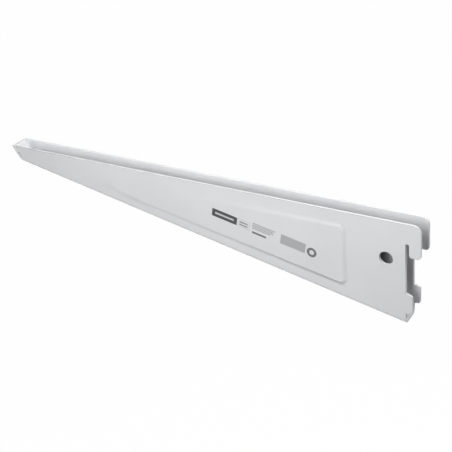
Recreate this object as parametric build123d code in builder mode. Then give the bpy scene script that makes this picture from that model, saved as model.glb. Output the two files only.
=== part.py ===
"""Slotted shelf bracket: an arm for a twin-slot upright, folded from one sheet of steel.

The arm is a channel that is open at the top. Two side walls taper from the heel to the nose, and the web
joins them along the sloping underside. At its front the web is bent up as a flap that closes the nose, with
a fine seam to the ends of the walls. At the rear each wall has a hook and a tab, which enter the slots of
the upright. Each wall has a round hole and a raised panel, which fades towards the nose.

Millimetres. +X runs from the upright to the nose, +Z is up and the bracket is symmetric about Y = 0.
The origin is where the bracket hangs: the front face of the upright, at the height of the hooks' seat.
"""

import math
import os

from build123d import *

# Sheet and arm
sheet = 1.6  # thickness of the coated steel
arm_width = 12.6  # over the outer faces of the two walls
fold_radius = 1.2  # inside radius of the folds between the web and the walls
reach = 270.0  # from the front face of the upright to the tip of the nose
top_height = 11.3  # top edges above the hooks' seat
heel_drop = 50.5  # underside at the rear, below the hooks' seat
nose_depth = 10.5  # height of the sloping nose
nose_run = 6.8  # length of the sloping nose along the arm
nose_seam = 0.25  # gap between the nose flap and the ends of the walls
nose_seam_foot = 3.2  # foot of that gap, up the flap from the bend

# Hooks, at the rear of each wall
hook_reach = 8.5  # back of the hook behind the front face of the upright
hook_drop = 8.1  # tip of the hook below its seat
hook_crown_radius = 4.5  # round corner at the top of the hook
hook_tip_radius = 1.8  # round corners at the tip of the hook
rail_gap = 2.1  # slot between hook and arm that takes the sheet of the upright

# Tabs, below the hooks
tab_reach = 3.7  # back of the tab behind the front face of the upright
tab_top = 31.2  # root of the tab's upper edge, below the hooks' seat
tab_bottom = 43.4  # root of the tab's lower edge, below the hooks' seat
tab_slope = 0.9  # how far each of these edges closes in towards the back
tab_root_radius = 0.8  # hollow corner above the tab
tab_upper_radius = 1.7  # upper corner at the back of the tab
tab_lower_radius = 1.0  # lower corner at the back of the tab

# Round hole through both walls
hole_radius = 4.0
hole_setback = 10.9  # hole centre in front of the upright
hole_drop = 11.3  # hole centre below the hooks' seat

# Raised panel, pressed outwards in each wall, lower and with wider borders towards the nose
panel_raise = 0.9  # at its rear foot
panel_raise_front = 0.36  # at its front foot
panel_start = 33.4  # rear foot of the panel in front of the upright
panel_front_height = 12.0  # height of the panel over its front foot, where its taper ends
panel_knee = 35.0  # bend in the panel's lower foot, behind its front foot
panel_margin_top = 7.0  # foot of the panel below the top edges
panel_margin_rear = 8.6  # foot of the panel above the underside, at its rear end
panel_margin_knee = 6.9
panel_margin_front = 4.4
panel_corner_radius = 4.6  # at the foot
corner_share = 0.48  # largest corner radius, as a share of the panel's height at its front end
ramp_top = 2.4  # width of the panel's sloping border along the top, at its rear end
ramp_top_front = 5.0
ramp_rear = 2.9
ramp_bottom = 2.3  # as far as the knee
ramp_bottom_front = 4.5
ramp_front = 11.0
ramp_steps = 6  # facets across the border

# Worked out from the sizes above
half_width = arm_width / 2
outer_fold_radius = fold_radius + sheet
nose_foot_x = reach - nose_run
nose_foot_z = top_height - nose_depth
under_slope = (nose_foot_z + heel_drop) / nose_foot_x
nose_lean = nose_run / nose_depth
nose_length = math.hypot(nose_run, nose_depth)
past = 2 * sheet  # how far a cut runs past the faces that it opens
panel_top = top_height - panel_margin_top
panel_end = (panel_top - panel_front_height - panel_margin_front + heel_drop) / under_slope


def underside(x):
    """Height of the underside at a distance in front of the upright."""
    return under_slope * x - heel_drop


def panel_outline(share):
    """Corners of the raised panel, from its foot (share 0) to the edge of its flat top (share 1)."""
    x_rear = panel_start + share * ramp_rear
    x_knee = panel_end - panel_knee
    x_front = panel_end - share * ramp_front
    foot_rear = underside(panel_start) + panel_margin_rear
    foot_knee = underside(x_knee) + panel_margin_knee
    foot_front = underside(panel_end) + panel_margin_front
    rear_slope = (foot_knee - foot_rear) / (x_knee - panel_start)
    front_slope = (foot_front - foot_knee) / panel_knee
    return [
        (x_rear, panel_top - share * ramp_top),
        (x_rear, foot_rear + rear_slope * (x_rear - panel_start) + share * ramp_bottom),
        (x_knee, foot_knee + share * ramp_bottom),
        (x_front, foot_front - front_slope * (panel_end - x_front) + share * ramp_bottom_front),
        (x_front, panel_top - share * ramp_top_front),
    ]


def panel_plane(rise):
    """Plane at a share of the panel's raise, leaning in towards the nose, with its Y axis along +Z."""
    raise_rear = rise * panel_raise
    raise_front = rise * panel_raise_front
    run = panel_end - panel_start
    raise_at_upright = raise_rear + (raise_rear - raise_front) * panel_start / run
    return Plane(
        (0, raise_at_upright, 0),
        x_dir=(run, raise_front - raise_rear, 0),
        z_dir=(raise_front - raise_rear, -run, 0),
    )


def rounded_bar(inset):
    """Bar with the arm's taper and rounded lower edges, set in from the outer faces of the sheet."""
    x_rear = -hook_reach - past
    x_front = reach + past
    z_top = top_height + past
    lift = inset * math.hypot(1, under_slope)
    with BuildPart() as bar:
        with BuildSketch(Plane.XZ):
            Polygon(
                (x_rear, underside(x_rear) + lift),
                (x_front, underside(x_front) + lift),
                (x_front, z_top),
                (x_rear, z_top),
                align=None,
            )
        extrude(amount=half_width - inset, both=True)
        walls = bar.faces().filter_by(Axis.Y)
        lower_edges = [wall.edges().sort_by(SortBy.LENGTH)[-2:].sort_by(Axis.Z)[0] for wall in walls]
        fillet(lower_edges, radius=outer_fold_radius - inset)
    return bar.part


def nose_bend(inset):
    """Ends of the bend's arc, set in from the outer faces of the sheet, with the underside's direction."""
    radius = outer_fold_radius - inset
    along_arm = Vector(nose_foot_x, nose_foot_z + heel_drop).normalized()
    up_nose = Vector(nose_run, nose_depth).normalized()
    half_turn = math.radians(along_arm.get_angle(up_nose)) / 2
    inwards = (up_nose - along_arm).normalized()
    corner = Vector(nose_foot_x, nose_foot_z) + inwards * (inset / math.cos(half_turn))
    tangent_length = radius * math.tan(half_turn)
    return corner - along_arm * tangent_length, corner + up_nose * tangent_length, along_arm


# Side view of the walls, which runs on below the rounded bar that it trims
with BuildSketch(Plane.XZ) as side:
    with BuildLine():
        bend_start, bend_end, along_arm = nose_bend(0)
        TangentArc(bend_start, bend_end, tangent=along_arm)
        Polyline(
            (0, -rail_gap / 2),
            (0, -tab_top),
            (-tab_reach, -tab_top - tab_slope),
            (-tab_reach, -tab_bottom + tab_slope),
            (0, -tab_bottom),
            (0, -heel_drop - past),
            (bend_start.X, bend_start.Y - past),
            bend_start,
        )
        Polyline(
            bend_end,
            (reach, top_height),
            (-hook_reach, top_height),
            (-hook_reach, -hook_drop),
            (-rail_gap, -hook_drop),
            (-rail_gap, -rail_gap / 2),
        )
        ThreePointArc((-rail_gap, -rail_gap / 2), (-rail_gap / 2, 0), (0, -rail_gap / 2))
    make_face()
    rounded_corners = [
        (-hook_reach, top_height, hook_crown_radius),
        (-hook_reach, -hook_drop, hook_tip_radius),
        (-rail_gap, -hook_drop, hook_tip_radius),
        (0, -tab_top, tab_root_radius),
        (-tab_reach, -tab_top - tab_slope, tab_upper_radius),
        (-tab_reach, -tab_bottom + tab_slope, tab_lower_radius),
    ]
    for x, z, radius in rounded_corners:
        fillet(side.vertices().sort_by_distance((x, z))[0], radius=radius)
    with Locations((hole_setback, -hole_drop)):
        Circle(hole_radius, mode=Mode.SUBTRACT)

# Space inside the channel, open at the top and the rear
with BuildPart() as channel:
    add(rounded_bar(sheet))
    with BuildSketch(Plane.XZ):
        with BuildLine():
            bend_start, bend_end, along_arm = nose_bend(sheet)
            TangentArc(bend_start, bend_end, tangent=along_arm)
            Polyline(
                bend_end,
                (bend_end.X + nose_lean * (nose_depth + past), bend_end.Y + nose_depth + past),
                (-hook_reach - 2 * past, bend_end.Y + nose_depth + past),
                (-hook_reach - 2 * past, -heel_drop - past),
                (bend_start.X, -heel_drop - past),
                bend_start,
            )
        make_face()
    extrude(amount=half_width, both=True, mode=Mode.INTERSECT)

# Seam between the nose flap and the ends of the walls, open towards the top edges and the front
with BuildPart() as seam:
    nose_plane = Plane((nose_foot_x, 0, nose_foot_z), x_dir=(nose_run, 0, nose_depth), z_dir=(0, -1, 0))
    with BuildSketch(nose_plane):
        with Locations((nose_seam_foot, sheet)):
            Rectangle(nose_length + past - nose_seam_foot, nose_seam, align=Align.MIN)
    extrude(amount=half_width + past, both=True)

# Raised panel as a low block, standing on Y = 0 and rising towards +Y in a soft S-shaped border
with BuildPart() as panel:
    for step in range(ramp_steps + 1):
        share = step / ramp_steps
        corners = panel_outline(share)
        knee = corners[2]
        front_height = corners[4][1] - corners[3][1]
        corner_radius = panel_corner_radius - share * ramp_bottom
        with BuildSketch(panel_plane(share**2 * (3 - 2 * share))):
            Polygon(*corners, align=None)
            rounded = vertices().sort_by_distance(knee)[1:]
            fillet(rounded, radius=min(corner_radius, corner_share * front_height))
    loft(ruled=True)

# The folded sheet
with BuildPart() as bracket:
    add(rounded_bar(0))
    extrude(side.sketch, amount=half_width + past, both=True, mode=Mode.INTERSECT)
    add([channel.part, seam.part], mode=Mode.SUBTRACT)
    raised = panel.part.moved(Location((0, half_width, 0)))
    pressed = panel.part.moved(Location((0, half_width - sheet, 0)))
    add([raised, raised.mirror(Plane.XZ)])
    add([pressed, pressed.mirror(Plane.XZ)], mode=Mode.SUBTRACT)

bracket.part.label = "bracket"

os.makedirs("parts", exist_ok=True)
export_step(bracket.part, "parts/bracket.step")
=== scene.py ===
"""Dresses and lights the slotted shelf bracket.

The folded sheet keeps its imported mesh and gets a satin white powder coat, with a plain label printed on
the raised panel of its left wall, which is the one that the camera sees. Everything is in metres, in the
part's own frame.
"""

import math

import bpy
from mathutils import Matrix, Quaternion, Vector


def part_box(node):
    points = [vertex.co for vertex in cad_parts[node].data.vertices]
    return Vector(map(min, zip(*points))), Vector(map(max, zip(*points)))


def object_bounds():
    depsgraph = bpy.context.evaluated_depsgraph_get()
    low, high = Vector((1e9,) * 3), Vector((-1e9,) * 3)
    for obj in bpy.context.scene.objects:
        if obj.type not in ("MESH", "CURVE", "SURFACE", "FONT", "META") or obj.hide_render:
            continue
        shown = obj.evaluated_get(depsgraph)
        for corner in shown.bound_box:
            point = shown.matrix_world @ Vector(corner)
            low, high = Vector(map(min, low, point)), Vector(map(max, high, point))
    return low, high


MM = 0.001

# Camera, as fitted to the photograph
VIEW_TURN = math.radians(34.846)  # round the object, from straight at its left wall towards its rear
VIEW_RISE = math.radians(29.298)
VIEW_ROLL = math.radians(-6.224)
VIEW_DISTANCE = 584.03 * MM
VIEW_TARGET = Vector((114.66, 0.0, -17.68)) * MM
PHOTO_WIDTH = 452  # pixels
FOCAL_PIXELS = 1000  # focal length, in pixels of the photograph
SENSOR = 36.0  # width in millimetres
NEAREST = 10.0 * MM  # what is nearer to the camera doesn't show

# Floor and surroundings
FLOOR_DROP = 0.75  # below the part, which hangs
FLOOR_SIZE = 12.0
FLOOR_COLOUR = (0.86, 0.86, 0.86, 1)
FLOOR_ROUGHNESS = 0.9
FLOOR_SHADE = 0.01  # share of the floor's own light and shadow that shows in front of the camera
WHITE = (1, 1, 1, 1)
WORLD_COLOUR = (0.97, 0.98, 1.0, 1)
WORLD_STRENGTH = 0.01

# Lamps round the middle of the arm: turn from the nose towards the left wall, and rise, in degrees,
# distance, width and height in metres, and power in watts
LAMP_CENTRE = Vector((100.0, 0.0, -10.0)) * MM
LAMPS = {
    "lamp_left": (92, 33, 0.46, 0.27, 0.46, 2.2),
    "lamp_above": (270, 80, 0.65, 0.4, 0.4, 1.5),
    "lamp_right": (270, 5, 0.9, 0.7, 0.7, 5.4),
    "lamp_front": (345, -10, 0.9, 0.4, 0.4, 2.0),
    "lamp_rear": (184, 38, 0.9, 0.1, 0.4, 3.4),
}

# Powder coat
PAINT = (0.83, 0.834, 0.845, 1)
PAINT_DEEP = (0.80, 0.805, 0.82, 1)
NOISE_RANGE = (0.3, 0.7)  # nearly all values of a noise lie between these
PATCH_SCALE = 35.0  # cells per metre of the unevenness in tone, and likewise below
PATCH_RANGE = (0.35, 0.65)
PAINT_ROUGHNESS = 0.42
GLOSS_SCALE = 60.0
GLOSS_SWING = 0.04
PAINT_IOR = 1.5
PEEL_SCALE = 650.0
PEEL_FINE_SCALE = 2200.0
PEEL_FINE_SHARE = 0.3
PEEL_STRENGTH = 0.25
PEEL_DEPTH = 0.02 * MM

# Edges
EDGE_RADIUS = 0.12 * MM  # the coat rounds the cut edges of the sheet
ROLLED_RADIUS = 0.7 * MM  # the punch has rolled the outer part of the top edges further
ROLLED_FROM = 5.6 * MM  # distance of that part from the middle of the bracket
ROLLED_TO = 5.9 * MM
ROLLED_NORMAL = (0, 1, 0.2)  # its normal on the left wall
UPWARD = 0.7  # a face counts as a top edge if its normal rises more than this

# Borders of the raised panel, which look softer than the mesh, but crisper along the bottom near the rear
WALL_SIDE = 6.3 * MM  # distance of the walls' outer faces from the middle
RAISED_FROM = WALL_SIDE + 0.01 * MM  # faces further out belong to the panels
GAIN_RUN = (60.0 * MM, 150.0 * MM)  # in front of the upright, from the first gain to the second
UPWARD_GAIN = (0.45, 0.1)  # how much of the slope shows where a border faces up
DOWNWARD_GAIN = (1.4, 0.6)  # and where it faces down
LEVEL = 0.02  # the two pass into each other between normals that fall and rise by this

# Painted shade along the lower foot of the raised panel, and in a soft hollow at its front
SHADE = (0.8, 0.8, 0.81, 1)  # what the full shade leaves of the paint's colour
SHADE_FROM = WALL_SIDE - 0.05 * MM  # distance from the middle, just inside the walls' outer faces
FOOT_START = Vector((33.4, 0.0, -35.39)) * MM  # rear end of the foot
FOOT_SLOPE = math.atan(0.1817)
FOOT_BELOW = (-1.1 * MM, 0.1 * MM)  # the shade grows over this height across the foot
FOOT_ABOVE = (0.1 * MM, 1.4 * MM)  # and fades over this one
FOOT_REAR = (34.0 * MM, 38.0 * MM)
FOOT_FRONT = (40.0 * MM, 175.0 * MM)
HOLLOW_SHADE_MIDDLE = Vector((178.1, 0.0, -7.9)) * MM  # of the painted shade of a soft hollow at the panel's front
HOLLOW_SHADE_SLOPE = math.atan(0.279)
HOLLOW_SHADE_WIDTH = 3.0 * MM  # to each side of its middle
HOLLOW_SHADE_SHARE = 0.3  # of the full shade, at its middle
HOLLOW_SHADE_REAR = (150.0 * MM, 175.0 * MM)
HOLLOW_SHADE_FRONT = (188.0 * MM, 204.0 * MM)

# Painted shade on the insides of the walls: dark deep down near the open rear, slight in the front half
# and at the nose
INSIDE_SHADE_COLOUR = (0.08, 0.08, 0.083, 1)
INSIDE_SHADE_SIDE = (4.6 * MM, 4.8 * MM)  # distance of these faces from the middle
INSIDE_SHADE_REAR = (0.0 * MM, 3.0 * MM)  # in front of the upright, where the painted shade starts with a first share
INSIDE_SHADE_REAR_SHARE = 0.15
INSIDE_SHADE_START = (10.0 * MM, 19.0 * MM)  # where the painted shade gets full
INSIDE_SHADE_END = (28.0 * MM, 33.0 * MM)  # and where it fades out again
INSIDE_SHADE_TOP = (16.0 * MM, 24.0 * MM)  # below the top edges
INSIDE_SHADE_BOTTOM = (36.0 * MM, 44.0 * MM)
INSIDE_SHADE_FRONT = (90.0 * MM, 130.0 * MM)  # slight painted shade too in the front half
INSIDE_SHADE_FRONT_TOP = (3.0 * MM, 8.0 * MM)  # below the top edges
INSIDE_SHADE_FRONT_SHARE = 0.12
INSIDE_SHADE_NOSE = (256.0 * MM, 262.0 * MM)  # and at the nose
INSIDE_SHADE_NOSE_SHARE = 0.12

# Label on the raised panel, along a line parallel to the underside
INK = (0.035, 0.035, 0.038, 1)
LABEL_START = Vector((118.4, 0.0, -5.2)) * MM
LABEL_SLOPE = math.radians(11.05)
LABEL_SOFT = 0.12 * MM  # width over which the edge of the ink fades
PANEL_FALL = 0.8 * MM  # the label lies no deeper than this below the panel's highest place
WEAR_SCALE = 2500.0
WEAR_LEAST = 0.93  # least share of the ink that the wear leaves

# Its fields in millimetres, as start and end along the line, then low and high across it
DARK_FIELD = (0.0, 16.7, -2.45, 2.65)
STRIPE = (2.0, 14.7, -0.5, 0.7)
OUTLINE_OUTSIDE = (17.2, 25.1, -2.6, 2.8)
OUTLINE_INSIDE = (17.45, 24.85, -2.35, 2.55)
MARKS = [  # share of the ink, then the field
    (0.7, (18.3, 23.8, -1.4, -0.5)),  # two rules in the outline
    (0.7, (18.3, 23.8, 0.4, 1.3)),
    (0.55, (26.8, 41.6, 3.1, 3.7)),  # fine rules over a bold one
    (0.55, (26.8, 40.2, 2.0, 2.6)),
    (0.55, (26.8, 40.6, 0.9, 1.5)),
    (0.55, (26.8, 38.4, -0.2, 0.4)),
    (0.85, (27.0, 36.2, -3.3, -2.0)),
    (0.46, (45.2, 60.9, -2.3, 3.9)),  # plain grey field
]
STRIPE_SHARE = 0.75
OUTLINE_SHARE = 0.35
RING_PLACE = 64.9 * MM
RING_RADIUS = 2.25 * MM
RING_HALF = 0.75 * MM
RING_SHARE = 0.85

# A Mix node's two inputs and its output, by the kind of data, as their names repeat
MIX_SOCKETS = {"VECTOR": (4, 5, 1), "RGBA": (6, 7, 2)}


def node(tree, kind, **settings):
    """Adds a shader node, with its properties set by name."""
    made = tree.nodes.new(kind)
    for name, value in settings.items():
        setattr(made, name, value)
    return made


def feed(tree, socket, value):
    """Links an output to a socket, or sets the socket's own value."""
    if isinstance(value, bpy.types.NodeSocket):
        tree.links.new(value, socket)
    else:
        socket.default_value = value


def maths(tree, operation, *values):
    """A Math node's output."""
    made = node(tree, "ShaderNodeMath", operation=operation)
    for socket, value in zip(made.inputs, values):
        feed(tree, socket, value)
    return made.outputs[0]


def spread(tree, value, low, high, out_low, out_high, kind="LINEAR"):
    """Maps a value from one range to another, and holds it at the ends."""
    made = node(tree, "ShaderNodeMapRange", interpolation_type=kind)
    for name, number in zip(("Value", "From Min", "From Max", "To Min", "To Max"),
                            (value, low, high, out_low, out_high)):
        feed(tree, made.inputs[name], number)
    return made.outputs["Result"]


def noise(tree, place, scale, detail=2.0):
    """A noise texture's value, with its scale in cells per metre."""
    made = node(tree, "ShaderNodeTexNoise")
    feed(tree, made.inputs["Vector"], place)
    made.inputs["Scale"].default_value = scale
    made.inputs["Detail"].default_value = detail
    return made.outputs["Fac"]


def joined(tree, operation, values):
    """The values put together, one after the other, by a Math operation."""
    total = values[0]
    for value in values[1:]:
        total = maths(tree, operation, total, value)
    return total


def product(tree, values):
    """The values multiplied together."""
    return joined(tree, "MULTIPLY", values)


def largest(tree, values):
    """The largest of the values."""
    return joined(tree, "MAXIMUM", values)


def split(tree, vector):
    """A vector's X, Y and Z outputs."""
    made = node(tree, "ShaderNodeSeparateXYZ")
    feed(tree, made.inputs[0], vector)
    return made.outputs


def mix(tree, share, first, second, data_type="RGBA", blend_type="MIX"):
    """A Mix node between two colours or vectors."""
    made = node(tree, "ShaderNodeMix", data_type=data_type, blend_type=blend_type)
    first_socket, second_socket, result = MIX_SOCKETS[data_type]
    feed(tree, made.inputs[0], share)
    feed(tree, made.inputs[first_socket], first)
    feed(tree, made.inputs[second_socket], second)
    return made.outputs[result]


def send_mixed(tree, share, first, second, output):
    """Sends a mix of two shaders to an output node."""
    both = node(tree, "ShaderNodeMixShader")
    feed(tree, both.inputs[0], share)
    feed(tree, both.inputs[1], first.outputs[0])
    feed(tree, both.inputs[2], second.outputs[0])
    feed(tree, tree.nodes[output].inputs["Surface"], both.outputs[0])


def new_material(name):
    """A new material, with its node tree and its surface shader."""
    material = bpy.data.materials.new(name)
    material.use_nodes = True
    tree = material.node_tree
    return material, tree, tree.nodes["Principled BSDF"]


def along(tree, place, start, direction):
    """Distance of a place from a start, measured along a direction."""
    made = node(tree, "ShaderNodeVectorMath", operation="DOT_PRODUCT")
    feed(tree, made.inputs[0], place)
    made.inputs[1].default_value = direction
    return maths(tree, "SUBTRACT", made.outputs["Value"], start.dot(direction))


def above(tree, place, start, slope):
    """Distance of a place above a line in the side view, which passes a start and climbs at a slope."""
    return along(tree, place, start, Vector((-math.sin(slope), 0, math.cos(slope))))


def within(tree, value, middle, half):
    """1 where a value is within half of the middle, 0 outside, with a soft edge."""
    away = maths(tree, "ABSOLUTE", maths(tree, "SUBTRACT", value, middle))
    return spread(tree, away, half - LABEL_SOFT / 2, half + LABEL_SOFT / 2, 1.0, 0.0)


def field(tree, across, up, sides):
    """Mask of a rectangle on the label, its sides in millimetres."""
    start, end, low, high = sides
    wide = within(tree, across, (start + end) / 2 * MM, (end - start) / 2 * MM)
    tall = within(tree, up, (low + high) / 2 * MM, (high - low) / 2 * MM)
    return maths(tree, "MULTIPLY", wide, tall)


def label_mask(tree, place):
    """How much ink lies at a place: plain fields, rules and a ring on the left wall's raised panel."""
    row = Vector((-math.cos(LABEL_SLOPE), 0, -math.sin(LABEL_SLOPE)))
    across = along(tree, place, LABEL_START, row)
    up = above(tree, place, LABEL_START, LABEL_SLOPE)

    dark = field(tree, across, up, DARK_FIELD)
    stripe = field(tree, across, up, STRIPE)
    marks = [maths(tree, "SUBTRACT", dark, maths(tree, "MULTIPLY", stripe, STRIPE_SHARE))]

    outside = field(tree, across, up, OUTLINE_OUTSIDE)
    inside = field(tree, across, up, OUTLINE_INSIDE)
    marks.append(maths(tree, "MULTIPLY", maths(tree, "SUBTRACT", outside, inside), OUTLINE_SHARE))

    for share, sides in MARKS:
        marks.append(maths(tree, "MULTIPLY", field(tree, across, up, sides), share))

    aside = maths(tree, "SUBTRACT", across, RING_PLACE)
    squares = [maths(tree, "POWER", offset, 2.0) for offset in (aside, up)]
    radius = maths(tree, "SQRT", maths(tree, "ADD", *squares))
    ring = within(tree, radius, RING_RADIUS, RING_HALF)
    marks.append(maths(tree, "MULTIPLY", ring, RING_SHARE))

    # Only on the outside of the left wall's panel, which stands lower towards the nose
    panel_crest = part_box("bracket")[1].y
    on_panel = maths(tree, "GREATER_THAN", split(tree, place)["Y"], panel_crest - PANEL_FALL)
    return maths(tree, "MULTIPLY", largest(tree, marks), on_panel)


def inside_shade_mask(tree, place):
    """How much painted shade lies at a place: most deep down on the insides of the walls, near the open
    rear.
    """
    axes = split(tree, place)
    side = maths(tree, "ABSOLUTE", axes["Y"])
    depth = maths(tree, "SUBTRACT", cad_box[1].z, axes["Z"])
    between = maths(tree, "LESS_THAN", side, INSIDE_SHADE_SIDE[1])
    start = [
        spread(tree, axes["X"], *INSIDE_SHADE_REAR, 0.0, INSIDE_SHADE_REAR_SHARE),
        spread(tree, axes["X"], *INSIDE_SHADE_START, 0.0, 1.0),
    ]
    rear = product(tree, [
        maths(tree, "GREATER_THAN", side, INSIDE_SHADE_SIDE[0]),
        largest(tree, start),
        spread(tree, axes["X"], *INSIDE_SHADE_END, 1.0, 0.0),
        spread(tree, depth, *INSIDE_SHADE_TOP, 0.0, 1.0),
        spread(tree, depth, *INSIDE_SHADE_BOTTOM, 1.0, 0.0),
    ])
    front = product(tree, [
        spread(tree, axes["X"], *INSIDE_SHADE_FRONT, 0.0, INSIDE_SHADE_FRONT_SHARE),
        spread(tree, depth, *INSIDE_SHADE_FRONT_TOP, 0.0, 1.0),
    ])
    nose = spread(tree, axes["X"], *INSIDE_SHADE_NOSE, 0.0, INSIDE_SHADE_NOSE_SHARE)
    return maths(tree, "MULTIPLY", between, largest(tree, [rear, front, nose]))


def shade_mask(tree, place):
    """How much painted shade lies at a place on the walls' outsides: along the raised panel's lower foot,
    and in a soft band across its front end.
    """
    axes = split(tree, place)
    outside = maths(tree, "GREATER_THAN", maths(tree, "ABSOLUTE", axes["Y"]), SHADE_FROM)
    up = above(tree, place, FOOT_START, FOOT_SLOPE)
    foot = product(tree, [
        spread(tree, up, *FOOT_BELOW, 0.0, 1.0, kind="SMOOTHSTEP"),
        spread(tree, up, *FOOT_ABOVE, 1.0, 0.0, kind="SMOOTHSTEP"),
        spread(tree, axes["X"], *FOOT_REAR, 0.0, 1.0),
        spread(tree, axes["X"], *FOOT_FRONT, 1.0, 0.0),
    ])
    aside = maths(tree, "ABSOLUTE", above(tree, place, HOLLOW_SHADE_MIDDLE, HOLLOW_SHADE_SLOPE))
    hollow_shade = product(tree, [
        spread(tree, aside, 0.0, HOLLOW_SHADE_WIDTH, HOLLOW_SHADE_SHARE, 0.0, kind="SMOOTHSTEP"),
        spread(tree, axes["X"], *HOLLOW_SHADE_REAR, 0.0, 1.0, kind="SMOOTHSTEP"),
        spread(tree, axes["X"], *HOLLOW_SHADE_FRONT, 1.0, 0.0, kind="SMOOTHSTEP"),
    ])
    return maths(tree, "MULTIPLY", outside, largest(tree, [foot, hollow_shade]))


def edge_normal(tree, place):
    """Normal over the rounded edges: the outer part of the top edges is rolled over to the side."""
    facing = split(tree, node(tree, "ShaderNodeNewGeometry").outputs["True Normal"])
    upward = maths(tree, "GREATER_THAN", facing["Z"], UPWARD)
    side = split(tree, place)["Y"]
    right_part = maths(tree, "MULTIPLY", upward, spread(tree, side, -ROLLED_FROM, -ROLLED_TO, 0.0, 1.0))
    left_part = maths(tree, "MULTIPLY", upward, spread(tree, side, ROLLED_FROM, ROLLED_TO, 0.0, 1.0))
    edge = node(tree, "ShaderNodeBevel", samples=8)
    extra = maths(tree, "MULTIPLY", right_part, ROLLED_RADIUS - EDGE_RADIUS)
    feed(tree, edge.inputs["Radius"], maths(tree, "ADD", extra, EDGE_RADIUS))
    return mix(tree, left_part, edge.outputs["Normal"], ROLLED_NORMAL, data_type="VECTOR")


def border_normal(tree, place, normal):
    """Normal with the rise or fall of the raised panel's borders made softer or crisper."""
    axes = split(tree, place)
    parts = split(tree, normal)
    raised = maths(tree, "GREATER_THAN", maths(tree, "ABSOLUTE", axes["Y"]), RAISED_FROM)
    upward, downward = (
        spread(tree, axes["X"], *GAIN_RUN, rear_gain - 1, front_gain - 1)
        for rear_gain, front_gain in (UPWARD_GAIN, DOWNWARD_GAIN)
    )
    gain = spread(tree, parts["Z"], -LEVEL, LEVEL, downward, upward)
    slope = maths(tree, "ADD", 1.0, maths(tree, "MULTIPLY", raised, gain))
    changed = node(tree, "ShaderNodeCombineXYZ")
    feed(tree, changed.inputs[0], parts["X"])
    feed(tree, changed.inputs[1], parts["Y"])
    feed(tree, changed.inputs[2], maths(tree, "MULTIPLY", parts["Z"], slope))
    unit = node(tree, "ShaderNodeVectorMath", operation="NORMALIZE")
    feed(tree, unit.inputs[0], changed.outputs[0])
    return unit.outputs[0]


def powder_coat():
    """Satin white powder coat: a faint orange peel, slight unevenness in tone and gloss, rounded edges,
    and painted shade inside the walls and along the raised panel.
    """
    material, tree, surface = new_material("powder_coat")
    place = node(tree, "ShaderNodeTexCoord").outputs["Object"]

    patches = spread(tree, noise(tree, place, PATCH_SCALE, detail=3.0), *PATCH_RANGE, 0.0, 1.0)
    colour = mix(tree, patches, PAINT, PAINT_DEEP)
    # Painted shade: a near-black colour deep inside the walls, and a little of it in the front half and at
    # the nose
    colour = mix(tree, inside_shade_mask(tree, place), colour, INSIDE_SHADE_COLOUR)
    # Painted shade along the panel's lower foot and across its front end
    colour = mix(tree, shade_mask(tree, place), colour, SHADE, blend_type="MULTIPLY")
    wear = spread(tree, noise(tree, place, WEAR_SCALE), *NOISE_RANGE, WEAR_LEAST, 1.0)
    ink = maths(tree, "MULTIPLY", label_mask(tree, place), wear)
    feed(tree, surface.inputs["Base Color"], mix(tree, ink, colour, INK))

    gloss = noise(tree, place, GLOSS_SCALE, detail=4.0)
    uneven = spread(tree, gloss, *NOISE_RANGE, -GLOSS_SWING, GLOSS_SWING)
    feed(tree, surface.inputs["Roughness"], maths(tree, "ADD", uneven, PAINT_ROUGHNESS))
    surface.inputs["IOR"].default_value = PAINT_IOR

    # Orange peel over the rounded edges and the panel's borders
    peel = node(tree, "ShaderNodeBump")
    peel.inputs["Strength"].default_value = PEEL_STRENGTH
    peel.inputs["Distance"].default_value = PEEL_DEPTH
    fine = maths(tree, "MULTIPLY", noise(tree, place, PEEL_FINE_SCALE, detail=1.0), PEEL_FINE_SHARE)
    waves = maths(tree, "ADD", noise(tree, place, PEEL_SCALE, detail=1.0), fine)
    feed(tree, peel.inputs["Height"], waves)
    feed(tree, peel.inputs["Normal"], border_normal(tree, place, edge_normal(tree, place)))
    feed(tree, surface.inputs["Normal"], peel.outputs["Normal"])
    return material


def seen_straight(tree):
    """1 for rays from the camera, and for those that a mirror or glass sends on."""
    rays = node(tree, "ShaderNodeLightPath").outputs
    return largest(tree, [rays["Is Camera Ray"], rays["Is Glossy Ray"], rays["Is Transmission Ray"]])


def pale_floor():
    """A plain floor under the part, white in front of the camera, with some of its own shadow."""
    bpy.ops.mesh.primitive_plane_add(size=FLOOR_SIZE, location=(0, 0, cad_box[0].z - FLOOR_DROP))
    floor = bpy.context.object
    floor.name = "floor"
    material, tree, surface = new_material("pale_floor")
    surface.inputs["Base Color"].default_value = FLOOR_COLOUR
    surface.inputs["Roughness"].default_value = FLOOR_ROUGHNESS
    white = node(tree, "ShaderNodeEmission")
    seen = maths(tree, "MULTIPLY", seen_straight(tree), 1 - FLOOR_SHADE)
    send_mixed(tree, seen, surface, white, "Material Output")
    floor.data.materials.append(material)


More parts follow.
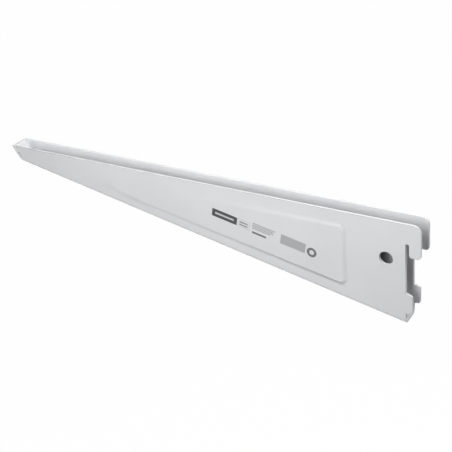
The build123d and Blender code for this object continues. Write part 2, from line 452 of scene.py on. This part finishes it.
def pale_world():
    """Even light from all round, white where the camera sees it."""
    world = bpy.data.worlds.new("surroundings")
    bpy.context.scene.world = world
    world.use_nodes = True
    tree = world.node_tree
    light = tree.nodes["Background"]
    light.inputs["Color"].default_value = WORLD_COLOUR
    light.inputs["Strength"].default_value = WORLD_STRENGTH
    white = node(tree, "ShaderNodeBackground")
    white.inputs["Color"].default_value = WHITE
    send_mixed(tree, seen_straight(tree), light, white, "World Output")


def stand(name, data, location, rotation):
    """Puts a lamp or a camera into the scene."""
    made = bpy.data.objects.new(name, data)
    made.location = location
    made.rotation_mode = "QUATERNION"
    made.rotation_quaternion = rotation
    bpy.context.scene.collection.objects.link(made)
    return made


def soft_lamp(name, turn, rise, distance, width, height, power):
    """An area lamp that faces the middle of the arm."""
    data = bpy.data.lights.new(name, "AREA")
    data.shape = "RECTANGLE"
    data.size = width
    data.size_y = height
    data.energy = power
    turn = math.radians(turn)
    rise = math.radians(rise)
    away = Vector((math.cos(turn) * math.cos(rise), math.sin(turn) * math.cos(rise), math.sin(rise)))
    stand(name, data, LAMP_CENTRE + away * distance, away.to_track_quat("Z", "Y"))


def camera():
    """The photograph's view, from the left and the rear, above."""
    data = bpy.data.cameras.new("camera")
    data.sensor_width = SENSOR
    data.lens = SENSOR * FOCAL_PIXELS / PHOTO_WIDTH
    data.clip_start = NEAREST
    flat = math.cos(VIEW_RISE)
    back = Vector((-math.sin(VIEW_TURN) * flat, math.cos(VIEW_TURN) * flat, math.sin(VIEW_RISE)))
    rotation = back.to_track_quat("Z", "Y") @ Quaternion((0, 0, 1), VIEW_ROLL)
    bpy.context.scene.camera = stand("camera", data, VIEW_TARGET + back * VIEW_DISTANCE, rotation)


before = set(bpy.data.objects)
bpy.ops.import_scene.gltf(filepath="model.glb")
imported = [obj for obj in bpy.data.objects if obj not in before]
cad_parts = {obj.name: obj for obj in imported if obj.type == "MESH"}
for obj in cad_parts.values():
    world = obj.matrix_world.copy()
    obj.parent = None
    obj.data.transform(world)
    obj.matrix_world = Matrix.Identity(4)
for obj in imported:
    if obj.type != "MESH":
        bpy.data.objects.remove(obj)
cad_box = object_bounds()

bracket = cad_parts["bracket"]
coat = powder_coat()
for slot in bracket.material_slots:
    slot.material = coat

pale_floor()
pale_world()
for name, settings in LAMPS.items():
    soft_lamp(name, *settings)
camera()

view = bpy.context.scene.view_settings
view.view_transform = "Standard"
